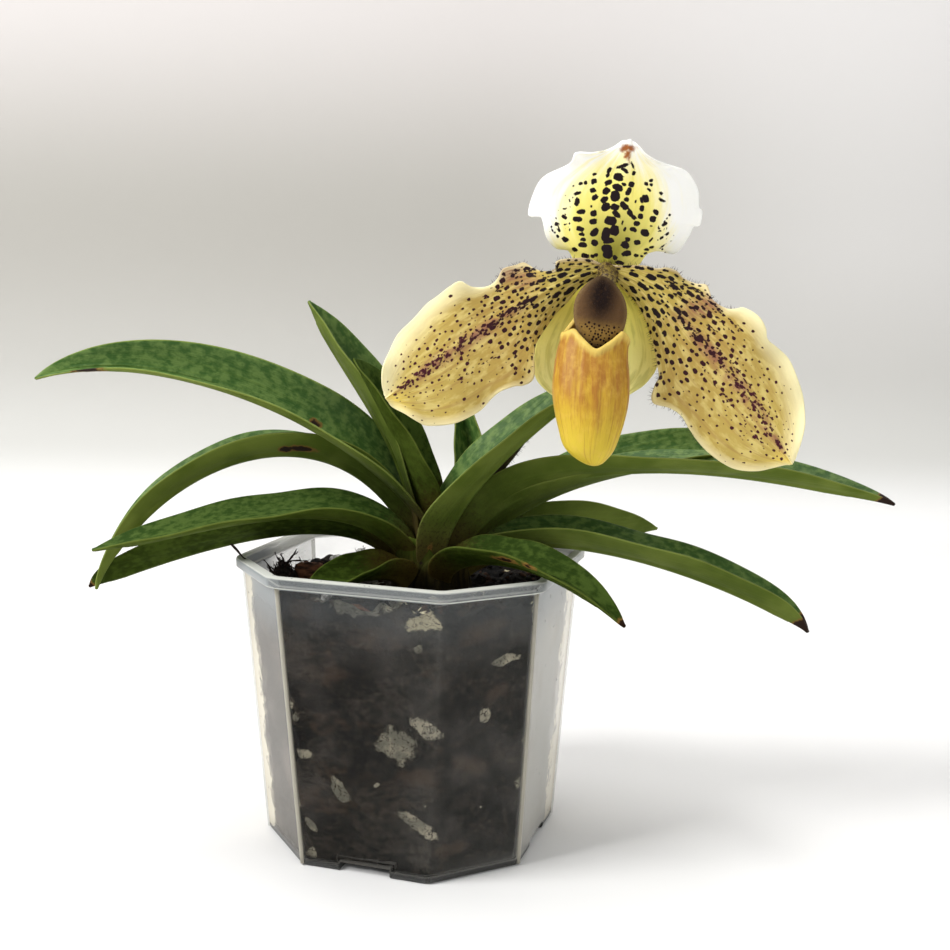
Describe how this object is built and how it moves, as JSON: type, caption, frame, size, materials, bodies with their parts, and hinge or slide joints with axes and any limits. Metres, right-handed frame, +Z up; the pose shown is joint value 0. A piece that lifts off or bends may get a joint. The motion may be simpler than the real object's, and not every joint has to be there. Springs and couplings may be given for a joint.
{
  "type": "potted slipper orchid",
  "caption": "Slipper orchid in flower: spotted petals and hooded sepal, deep pouch, arching folded strap leaves, in a clear square pot with cut corners.",
  "frame": {"origin": "middle of the pot's base, on the surface that it stands on", "axes": "+Z up out of the pot; -Y the side that the flower faces; +X to the right seen from that side, along the spread of the leaves"},
  "size_m": [0.2404, 0.1016, 0.1969],
  "materials": {
    "clear_pot": "clear, slightly milky",
    "medium": "matte",
    "bark": "matte",
    "perlite": "matte",
    "crown": "satin",
    "leaf": "satin",
    "scape": "matte",
    "ovary": "matte",
    "bract": "satin",
    "column": "satin",
    "staminode": "satin",
    "dorsal_sepal": "satin",
    "synsepal": "satin",
    "petal": "satin",
    "pouch": "gloss"
  },
  "bodies": {
    "root": {"pot": "clear_pot", "growing_medium": "medium", "crown": "crown", "bark_chip_01": "bark", "bark_chip_02": "bark", "bark_chip_03": "bark", "bark_chip_04": "bark", "perlite_01": "perlite", "perlite_02": "perlite", "perlite_03": "perlite", "perlite_04": "perlite", "perlite_05": "perlite", "leaf_01": "leaf", "leaf_02": "leaf", "leaf_03": "leaf", "leaf_04": "leaf", "leaf_05": "leaf", "leaf_06": "leaf", "leaf_07": "leaf", "leaf_08": "leaf", "leaf_09": "leaf", "leaf_10": "leaf", "leaf_11": "leaf", "leaf_12": "leaf", "leaf_13": "leaf", "leaf_14": "leaf", "leaf_15": "leaf", "scape": "scape", "ovary": "ovary", "bract": "bract", "column": "column", "staminode": "staminode", "dorsal_sepal": "dorsal_sepal", "synsepal": "synsepal", "petal_left": "petal", "petal_right": "petal", "pouch": "pouch"}
  },
  "joints": []
}
